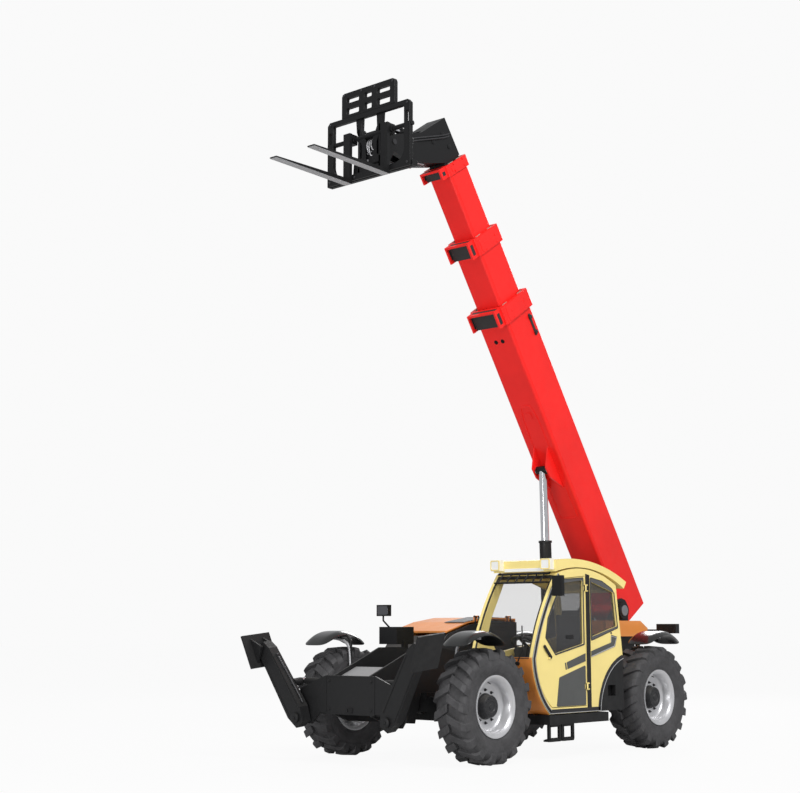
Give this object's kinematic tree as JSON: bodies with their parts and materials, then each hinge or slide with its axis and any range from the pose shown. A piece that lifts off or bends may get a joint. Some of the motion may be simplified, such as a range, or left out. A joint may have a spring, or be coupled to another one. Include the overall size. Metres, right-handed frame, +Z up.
{
  "type": "telehandler",
  "caption": "Telescopic handler with side cab, raised telescopic boom, pallet forks on a tilting carriage and swing-down front stabiliser legs.",
  "frame": {"origin": "on the ground, in the middle of the vehicle's width and of its whole length from the boom's rear corner to the fork tips", "axes": "+X forward, +Y to the vehicle's left, +Z up"},
  "size_m": [6.1196, 2.625, 7.36],
  "materials": {
    "chassis_paint": "satin",
    "pin_steel": "satin",
    "rod_chrome": "polished",
    "carriage_paint": "satin",
    "boom_paint": "gloss",
    "cab_paint": "gloss",
    "body_orange": "gloss",
    "bay_paint": "satin",
    "engine_iron": "rough",
    "window_glass": "clear",
    "seat_plastic": "matte",
    "lamp_white": "gloss",
    "tyre_rubber": "matte",
    "rim_paint": "satin",
    "mudguard_plastic": "gloss"
  },
  "bodies": {
    "chassis": {"chassis_plate_left": "chassis_paint", "chassis_plate_right": "chassis_paint", "cross_members": "chassis_paint", "boom_pivot_pin": "pin_steel", "front_frame": "chassis_paint", "front_axle": "chassis_paint", "rear_axle": "chassis_paint", "side_sill": "chassis_paint", "fuel_tank": "chassis_paint", "engine_block": "engine_iron", "engine_bay": "bay_paint", "rear_cowl": "body_orange", "rear_lights": "lamp_white", "cab_shell": "cab_paint", "cab_roof": "cab_paint", "cab_glass": "window_glass", "seat": "seat_plastic", "dashboard": "seat_plastic", "roof_guard": "carriage_paint", "work_lamps": "lamp_white", "mirror_right": "carriage_paint", "mirror_left": "carriage_paint"},
    "hood": {"hood_lid": "body_orange"},
    "door": {"door_panel": "cab_paint", "door_glass": "window_glass"},
    "boom_base": {"boom_outer": "boom_paint"},
    "boom_middle": {"boom_second": "boom_paint"},
    "boom_inner": {"boom_third": "boom_paint"},
    "boom_tip": {"boom_head": "carriage_paint", "tilt_barrel": "carriage_paint"},
    "tilt_cylinder_rod": {"tilt_rod": "rod_chrome"},
    "carriage": {"fork_carriage": "carriage_paint", "fork_pin": "pin_steel", "forks": "carriage_paint"},
    "lift_cylinder_barrel": {"lift_barrel": "chassis_paint"},
    "lift_cylinder_sleeve": {"lift_sleeve": "chassis_paint"},
    "lift_cylinder_rod": {"lift_rod": "rod_chrome"},
    "stabiliser_left": {"stabiliser_leg_left": "chassis_paint"},
    "stabiliser_cylinder_barrel_left": {"stabiliser_barrel_left": "chassis_paint"},
    "stabiliser_cylinder_rod_left": {"stabiliser_rod_left": "rod_chrome"},
    "stabiliser_right": {"stabiliser_leg_right": "chassis_paint"},
    "stabiliser_cylinder_barrel_right": {"stabiliser_barrel_right": "chassis_paint"},
    "stabiliser_cylinder_rod_right": {"stabiliser_rod_right": "rod_chrome"},
    "steer_front_left": {"knuckle_front_left": "chassis_paint", "mudguard_front_left": "mudguard_plastic"},
    "wheel_front_left": {"tyre_front_left": "tyre_rubber", "rim_front_left": "rim_paint"},
    "steer_front_right": {"knuckle_front_right": "chassis_paint", "mudguard_front_right": "mudguard_plastic"},
    "wheel_front_right": {"tyre_front_right": "tyre_rubber", "rim_front_right": "rim_paint"},
    "steer_rear_left": {"knuckle_rear_left": "chassis_paint", "mudguard_rear_left": "mudguard_plastic"},
    "wheel_rear_left": {"tyre_rear_left": "tyre_rubber", "rim_rear_left": "rim_paint"},
    "steer_rear_right": {"knuckle_rear_right": "chassis_paint", "mudguard_rear_right": "mudguard_plastic"},
    "wheel_rear_right": {"tyre_rear_right": "tyre_rubber", "rim_rear_right": "rim_paint"}
  },
  "joints": [
    {"name": "boom_lift", "type": "hinge", "parent": "chassis", "child": "boom_base", "pos_m": [-2.46524, 0, 1.62], "axis": [0, -1, 0], "range_deg": [-61.5, 12]},
    {"name": "boom_extend", "type": "slide", "parent": "boom_base", "child": "boom_middle", "axis": [0.5514, 0, 0.8343], "range_m": [-0.62, 2.64]},
    {"name": "boom_extend_inner", "type": "slide", "parent": "boom_middle", "child": "boom_inner", "axis": [0.5514, 0, 0.8343], "range_m": [-0.62, 2.64]},
    {"name": "boom_extend_tip", "type": "slide", "parent": "boom_inner", "child": "boom_tip", "axis": [0.5514, 0, 0.8343], "range_m": [0, 3.2]},
    {"name": "carriage_tilt", "type": "hinge", "parent": "boom_tip", "child": "carriage", "pos_m": [1.65476, 0, 6.74], "axis": [0, 1, 0], "range_deg": [-73.5, 63.5]},
    {"name": "tilt_rod_slide", "type": "slide", "parent": "boom_tip", "child": "tilt_cylinder_rod", "axis": [1, 0, 0], "range_m": [-0.1912, 0.1652]},
    {"name": "lift_barrel_swing", "type": "hinge", "parent": "chassis", "child": "lift_cylinder_barrel", "pos_m": [-1.30524, 0, 0.5], "axis": [0, -1, 0], "range_deg": [-39.37, 7.69]},
    {"name": "lift_sleeve_slide", "type": "slide", "parent": "lift_cylinder_barrel", "child": "lift_cylinder_sleeve", "axis": [0.0285, 0, 0.9996], "range_m": [-0.7996, 0.1561]},
    {"name": "lift_rod_slide", "type": "slide", "parent": "lift_cylinder_sleeve", "child": "lift_cylinder_rod", "axis": [0.0285, 0, 0.9996], "range_m": [-0.7996, 0.1561]},
    {"name": "stabiliser_left_swing", "type": "hinge", "parent": "chassis", "child": "stabiliser_left", "pos_m": [2.22976, 0.65, 0.47], "axis": [-0.9945, 0, 0.1045], "range_deg": [0, 80]},
    {"name": "stabiliser_barrel_left_swing", "type": "hinge", "parent": "chassis", "child": "stabiliser_cylinder_barrel_left", "pos_m": [2.06587, 0.335, 0.82407], "axis": [-0.9945, 0, 0.1045], "range_deg": [-0.01, 32.01]},
    {"name": "stabiliser_rod_left_slide", "type": "slide", "parent": "stabiliser_cylinder_barrel_left", "child": "stabiliser_cylinder_rod_left", "axis": [0.0033, 0.9995, 0.0311], "range_m": [-0.0001, 0.3481]},
    {"name": "stabiliser_right_swing", "type": "hinge", "parent": "chassis", "child": "stabiliser_right", "pos_m": [2.22976, -0.65, 0.47], "axis": [0.9945, 0, -0.1045], "range_deg": [0, 80]},
    {"name": "stabiliser_barrel_right_swing", "type": "hinge", "parent": "chassis", "child": "stabiliser_cylinder_barrel_right", "pos_m": [2.06587, -0.335, 0.82407], "axis": [0.9945, 0, -0.1045], "range_deg": [-0.01, 32.01]},
    {"name": "stabiliser_rod_right_slide", "type": "slide", "parent": "stabiliser_cylinder_barrel_right", "child": "stabiliser_cylinder_rod_right", "axis": [0.0033, -0.9995, 0.0311], "range_m": [-0.0001, 0.3481]},
    {"name": "door_swing", "type": "hinge", "parent": "chassis", "child": "door", "pos_m": [-0.43124, 1.164, 1.2], "axis": [0, 0, 1], "range_deg": [0, 80]},
    {"name": "hood_swing", "type": "hinge", "parent": "chassis", "child": "hood", "pos_m": [-0.30524, -0.32, 1.535], "axis": [-1, 0, 0], "range_deg": [0, 50]},
    {"name": "steering_front_left", "type": "hinge", "parent": "chassis", "child": "steer_front_left", "pos_m": [1.19476, 0.83, 0.595], "axis": [0, 0, 1], "range_deg": [-32, 32]},
    {"name": "roll_front_left", "type": "hinge", "parent": "steer_front_left", "child": "wheel_front_left", "pos_m": [1.19476, 1, 0.595], "axis": [0, 1, 0], "continuous": true},
    {"name": "steering_front_right", "type": "hinge", "parent": "chassis", "child": "steer_front_right", "pos_m": [1.19476, -0.83, 0.595], "axis": [0, 0, 1], "range_deg": [-32, 32]},
    {"name": "roll_front_right", "type": "hinge", "parent": "steer_front_right", "child": "wheel_front_right", "pos_m": [1.19476, -1, 0.595], "axis": [0, 1, 0], "continuous": true},
    {"name": "steering_rear_left", "type": "hinge", "parent": "chassis", "child": "steer_rear_left", "pos_m": [-1.87524, 0.83, 0.595], "axis": [0, 0, 1], "range_deg": [-32, 32]},
    {"name": "roll_rear_left", "type": "hinge", "parent": "steer_rear_left", "child": "wheel_rear_left", "pos_m": [-1.87524, 1, 0.595], "axis": [0, 1, 0], "continuous": true},
    {"name": "steering_rear_right", "type": "hinge", "parent": "chassis", "child": "steer_rear_right", "pos_m": [-1.87524, -0.83, 0.595], "axis": [0, 0, 1], "range_deg": [-32, 32]},
    {"name": "roll_rear_right", "type": "hinge", "parent": "steer_rear_right", "child": "wheel_rear_right", "pos_m": [-1.87524, -1, 0.595], "axis": [0, 1, 0], "continuous": true}
  ],
  "couplings": [
    {"joint": "boom_extend_inner", "follows": "boom_extend", "ratio": 1},
    {"joint": "tilt_rod_slide", "follows": "carriage_tilt", "m_per_rad": 0.14897},
    {"joint": "lift_barrel_swing", "follows": "boom_lift", "ratio": 0.64},
    {"joint": "lift_sleeve_slide", "follows": "boom_lift", "m_per_rad": 0.74485},
    {"joint": "lift_rod_slide", "follows": "boom_lift", "m_per_rad": 0.74485},
    {"joint": "stabiliser_barrel_left_swing", "follows": "stabiliser_left_swing", "ratio": 0.4},
    {"joint": "stabiliser_rod_left_slide", "follows": "stabiliser_left_swing", "m_per_rad": 0.24924},
    {"joint": "stabiliser_barrel_right_swing", "follows": "stabiliser_right_swing", "ratio": 0.4},
    {"joint": "stabiliser_rod_right_slide", "follows": "stabiliser_right_swing", "m_per_rad": 0.24924},
    {"joint": "steering_front_right", "follows": "steering_front_left", "ratio": 1},
    {"joint": "steering_rear_left", "follows": "steering_front_left", "ratio": -1},
    {"joint": "steering_rear_right", "follows": "steering_front_left", "ratio": -1}
  ]
}
